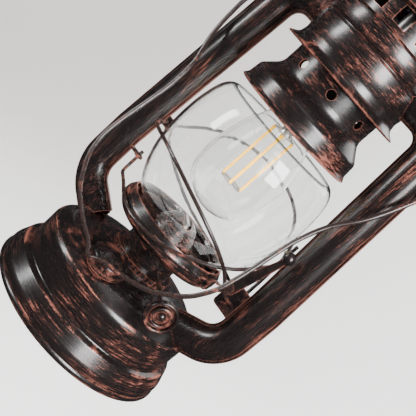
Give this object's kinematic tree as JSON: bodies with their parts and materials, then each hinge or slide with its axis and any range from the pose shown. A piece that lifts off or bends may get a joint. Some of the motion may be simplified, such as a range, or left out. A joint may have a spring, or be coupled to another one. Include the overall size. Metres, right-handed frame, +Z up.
{
  "type": "hanging hurricane lantern",
  "caption": "Tubular hurricane lantern with a clear glass globe, side tubes, wire bail and globe lift, converted to hold an electric filament bulb.",
  "frame": {"origin": "on the lantern's axis, in the plane of the base rim that it stands on", "axes": "+Z up the lantern's axis, +X towards the side tube that carries the globe lift lever, -Y towards the filler cap and the hanging bail, which is the front"},
  "size_m": [0.181, 0.14, 0.3132],
  "materials": {
    "aged_shell": "brushed black-brown antique copper with worn edges",
    "aged_wire": "dark antique copper wire",
    "globe_glass": "clear polished glass",
    "bulb_glass": "clear thin lamp glass",
    "brass": "dull brass",
    "plated_steel": "zinc plated",
    "bakelite": "black phenolic",
    "seal": "black rubber",
    "cotton": "woven cotton wick",
    "led_strip": "yellow phosphor strip",
    "lead_wire": "nickel lead wire"
  },
  "bodies": {
    "lantern": {"tank_shell": "aged_shell", "tank_floor": "aged_shell", "filler_neck": "aged_shell", "burner_collar": "aged_shell", "burner_drum": "aged_shell", "burner_cone": "aged_shell", "tube_left_front": "aged_shell", "tube_left_back": "aged_shell", "tube_right_front": "aged_shell", "tube_right_back": "aged_shell", "chimney": "aged_shell", "hood": "aged_shell", "crown": "aged_shell", "top_cap": "aged_shell", "lever_plate": "aged_shell", "guard_tab": "aged_shell", "guide_left": "aged_shell", "guide_right": "aged_shell", "guard_front": "aged_wire", "guard_back": "aged_wire", "guard_back_low": "aged_wire", "bail_ears": "aged_wire", "lever_rivet": "aged_wire", "bulb_glass": "bulb_glass", "bulb_stem": "bulb_glass", "bulb_screw": "brass", "bulb_contact": "bakelite", "holder_shell": "bakelite", "holder_screw": "brass", "holder_insulator": "bakelite", "holder_contact": "brass", "nipple": "brass", "nipple_nuts": "plated_steel", "cord_bushing": "bakelite", "wick_tube": "brass", "filament_strips": "led_strip", "filament_wires": "lead_wire"},
    "carriage": {"gallery": "aged_shell", "globe_seat": "aged_shell", "globe": "globe_glass", "carriage_wire": "aged_wire", "lift_lug": "aged_shell"},
    "lever": {"lift_lever": "aged_shell"},
    "bail": {"bail": "aged_wire"},
    "winder": {"wick_shaft": "aged_wire", "wick_knob": "aged_shell"},
    "wick": {"wick": "cotton"},
    "gasket": {"cap_gasket": "seal"},
    "cap": {"filler_cap": "aged_shell"}
  },
  "joints": [
    {"name": "bail_swing", "type": "hinge", "parent": "lantern", "child": "bail", "pos_m": [0, 0, 0.232], "axis": [-1, 0, 0], "range_deg": [0, 318]},
    {"name": "lever_press", "type": "hinge", "parent": "lantern", "child": "lever", "pos_m": [0.0555, -0.0097, 0.099], "axis": [0, 1, 0], "range_deg": [0, 60]},
    {"name": "carriage_lift", "type": "slide", "parent": "lantern", "child": "carriage", "axis": [0, 0, 1], "range_m": [0, 0.007]},
    {"name": "winder_turn", "type": "hinge", "parent": "lantern", "child": "winder", "pos_m": [0.00513, 0.00462, 0.066], "axis": [0.6691, -0.7431, 0], "range_deg": [-66, 66]},
    {"name": "wick_raise", "type": "slide", "parent": "lantern", "child": "wick", "axis": [0, 0, 1], "range_m": [-0.006, 0.006]},
    {"name": "gasket_lift", "type": "slide", "parent": "lantern", "child": "gasket", "axis": [0.0203, -0.2325, 0.9724], "range_m": [0, 0.006]},
    {"name": "cap_turn", "type": "hinge", "parent": "gasket", "child": "cap", "pos_m": [0.00392, -0.04483, 0.05342], "axis": [0.0203, -0.2325, 0.9724], "range_deg": [0, 720]}
  ],
  "couplings": [
    {"joint": "lever_press", "follows": "carriage_lift", "rad_per_m": 149.57},
    {"joint": "wick_raise", "follows": "winder_turn", "m_per_rad": -0.0052087},
    {"joint": "gasket_lift", "follows": "cap_turn", "m_per_rad": 0.00047746}
  ]
}
